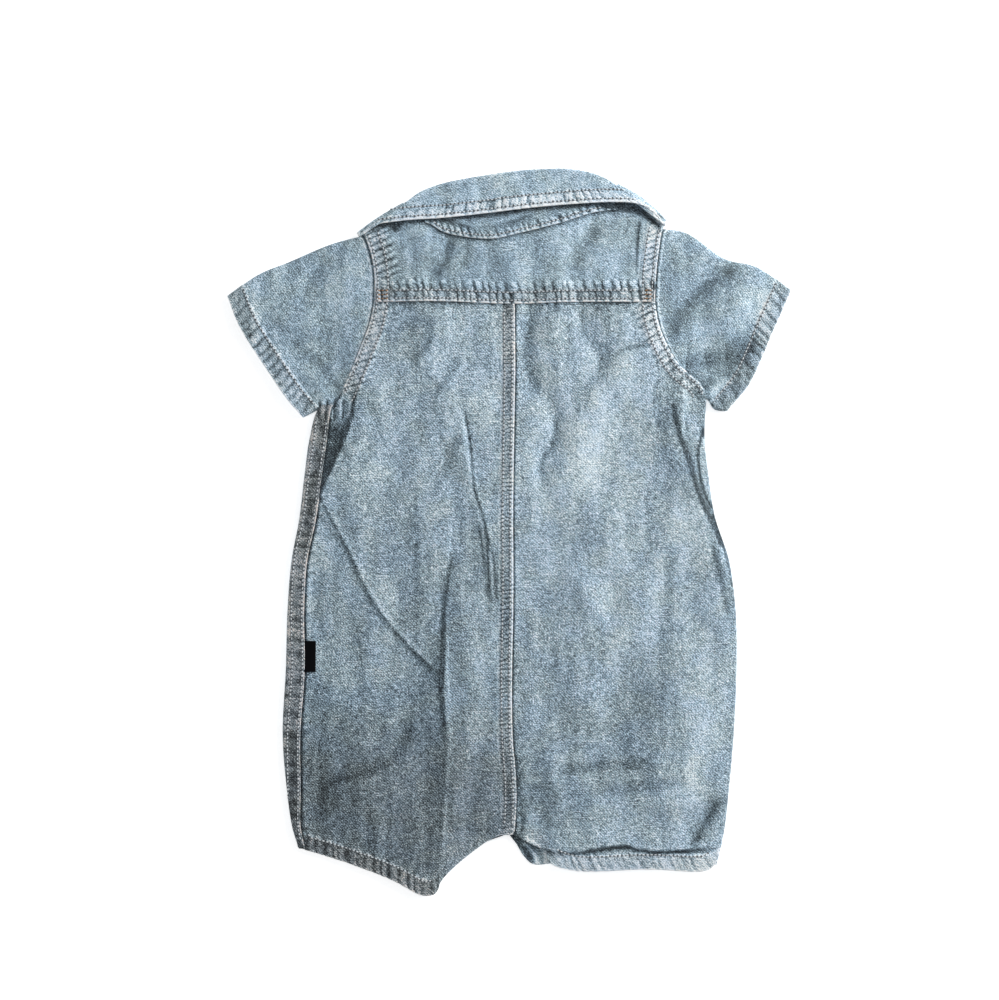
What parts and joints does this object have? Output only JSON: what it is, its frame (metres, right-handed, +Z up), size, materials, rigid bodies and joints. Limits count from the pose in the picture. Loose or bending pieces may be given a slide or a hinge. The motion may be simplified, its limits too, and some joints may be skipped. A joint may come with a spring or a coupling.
{
  "type": "baby romper",
  "caption": "Short-sleeved denim baby romper with a shirt collar and short legs, laid flat on its front with its back up.",
  "frame": {"origin": "on the surface the garment lies on, under the middle of its outline", "axes": "+Y towards the collar, +X towards the wearer's right sleeve, +Z up, out of the back of the garment"},
  "size_m": [0.356, 0.4568, 0.0089],
  "materials": {
    "denim": "light washed cotton denim",
    "snaps": "satin",
    "tab_tape": "black woven tape"
  },
  "bodies": {
    "root": {"back_panel_left": "denim", "back_panel_right": "denim", "front_panel_left": "denim", "front_panel_right": "denim", "back_yoke": "denim", "sleeve_left": "denim", "sleeve_right": "denim", "collar_leaf": "denim", "collar_stand": "denim", "front_placket": "denim", "snap_1": "snaps", "snap_2": "snaps", "snap_3": "snaps", "snap_4": "snaps", "snap_5": "snaps", "snap_6": "snaps", "side_tab": "tab_tape"}
  },
  "joints": []
}
